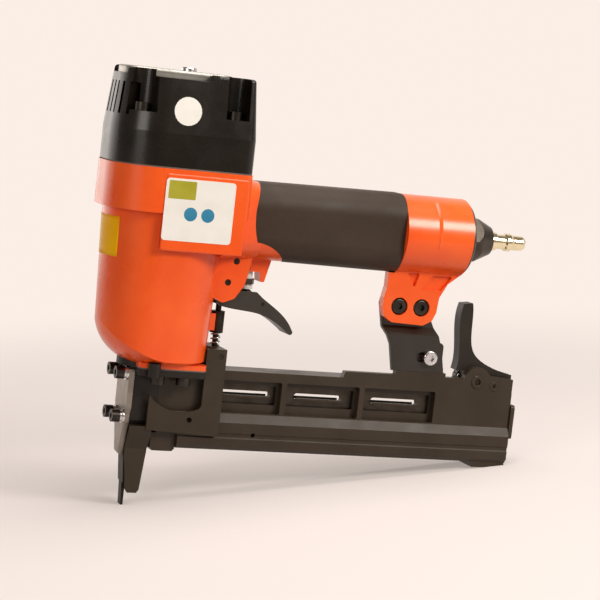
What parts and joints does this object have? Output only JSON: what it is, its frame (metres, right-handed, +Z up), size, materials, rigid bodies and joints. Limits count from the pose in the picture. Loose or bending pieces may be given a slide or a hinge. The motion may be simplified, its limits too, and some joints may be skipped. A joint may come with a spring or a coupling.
{
  "type": "pneumatic flooring stapler",
  "caption": "Air-driven flooring nailer with black cylinder cap, orange cast body, rubber grip, trigger, sprung nose safety and long slotted magazine with a latch.",
  "frame": {"origin": "on the driver axis, level with the locating tip under the nose", "axes": "+Z up along the driver axis, +X back along the handle and magazine to the air plug, +Y across the tool"},
  "size_m": [0.2889, 0.0688, 0.269],
  "materials": {
    "orange_paint": "satin gloss",
    "cap_black": "satin",
    "gasket": "matt",
    "screw_black": "black oxide",
    "deflector_grey": "satin",
    "screw_steel": "zinc plated",
    "grip_rubber": "matt",
    "cast_aluminium": "satin",
    "rubber_black": "matt",
    "hard_steel": "ground",
    "filter_plastic": "matt",
    "nut_dark": "black oxide",
    "plug_brass": "polished",
    "trigger_black": "satin",
    "pin_steel": "ground",
    "valve_white": "satin",
    "spring_steel": "bright",
    "nose_black": "satin",
    "plate_grey": "satin",
    "safety_black": "satin",
    "magazine_coat": "satin",
    "lever_black": "satin",
    "bracket_black": "satin"
  },
  "bodies": {
    "body": {"main_body": "orange_paint", "cylinder_cap": "cap_black", "cap_gasket": "gasket", "nose_gasket": "gasket", "cap_screws": "screw_black", "nose_screws": "screw_black", "front_plate_screws": "screw_black", "bracket_bolts": "screw_black", "exhaust_deflector": "deflector_grey", "deflector_screw": "screw_steel", "front_plate_washers": "screw_steel", "bracket_screw": "screw_steel", "bracket_nuts": "screw_steel", "grip_sleeve": "grip_rubber", "cylinder_sleeve": "cast_aluminium", "end_cap": "cast_aluminium", "sleeve_o_rings": "rubber_black", "bumper": "rubber_black", "inlet_filter": "filter_plastic", "inlet_nut": "nut_dark", "valve_nut": "nut_dark", "air_plug": "plug_brass", "trigger_pin": "pin_steel", "valve_pin": "pin_steel", "safety_guide_tube": "pin_steel", "latch_pin": "pin_steel", "valve_housing": "valve_white", "valve_spring": "spring_steel", "head_valve_spring": "spring_steel", "safety_spring": "spring_steel", "latch_spring": "spring_steel", "feed_spring": "spring_steel", "nose_body": "nose_black", "front_plate": "plate_grey", "magazine_body": "magazine_coat", "magazine_front_block": "magazine_coat", "bracket": "bracket_black"},
    "head_valve": {"head_valve": "cast_aluminium"},
    "piston": {"piston": "cast_aluminium", "piston_ring": "rubber_black", "driver_blade": "hard_steel"},
    "trigger": {"trigger": "trigger_black", "arm_pin": "pin_steel"},
    "trigger_arm": {"trigger_arm": "trigger_black"},
    "valve_stem": {"valve_stem": "pin_steel"},
    "safety": {"safety_yoke": "safety_black", "safety_rod": "pin_steel", "rod_set_screws": "screw_black"},
    "slide": {"staple_rail": "hard_steel", "rail_end_plate": "magazine_coat", "end_plate_screws": "screw_black"},
    "pusher": {"pusher": "hard_steel"},
    "latch": {"latch_lever": "lever_black"}
  },
  "joints": [
    {"name": "piston_slide", "type": "slide", "parent": "body", "child": "piston", "axis": [0, 0, -1], "range_m": [0, 0.071]},
    {"name": "head_valve_slide", "type": "slide", "parent": "body", "child": "head_valve", "axis": [0, 0, 1], "range_m": [0, 0.003], "stiffness_N_per_m": 2000, "springref_m": -0.006, "deforming": ["head_valve_spring"]},
    {"name": "trigger_hinge", "type": "hinge", "parent": "body", "child": "trigger", "pos_m": [0.0478, 0, 0.1422], "axis": [0, -1, 0], "range_deg": [0, 10], "stiffness_Nm_per_rad": 0.3, "springref_deg": -17.19},
    {"name": "trigger_arm_hinge", "type": "hinge", "parent": "trigger", "child": "trigger_arm", "pos_m": [0.0735, 0, 0.1298], "axis": [0, 1, 0], "range_deg": [0, 13.5]},
    {"name": "valve_stem_slide", "type": "slide", "parent": "body", "child": "valve_stem", "axis": [0, 0, 1], "range_m": [0, 0.002], "stiffness_N_per_m": 400, "springref_m": -0.005, "deforming": ["valve_spring"]},
    {"name": "safety_slide", "type": "slide", "parent": "body", "child": "safety", "axis": [0, 0, 1], "range_m": [0, 0.006], "stiffness_N_per_m": 400, "springref_m": -0.02, "deforming": ["safety_spring"]},
    {"name": "magazine_slide", "type": "slide", "parent": "body", "child": "slide", "axis": [1, 0, 0], "range_m": [0, 0.12]},
    {"name": "pusher_slide", "type": "slide", "parent": "slide", "child": "pusher", "axis": [1, 0, 0], "range_m": [0, 0.15], "stiffness_N_per_m": 15, "springref_m": -0.3},
    {"name": "latch_hinge", "type": "hinge", "parent": "body", "child": "latch", "pos_m": [0.2244, 0, 0.0896], "axis": [0, -1, 0], "range_deg": [0, 10], "stiffness_Nm_per_rad": 1.5, "springref_deg": -11.46, "deforming": ["latch_spring"]}
  ],
  "couplings": [
    {"joint": "trigger_arm_hinge", "follows": "safety_slide", "rad_per_m": 39.2}
  ]
}
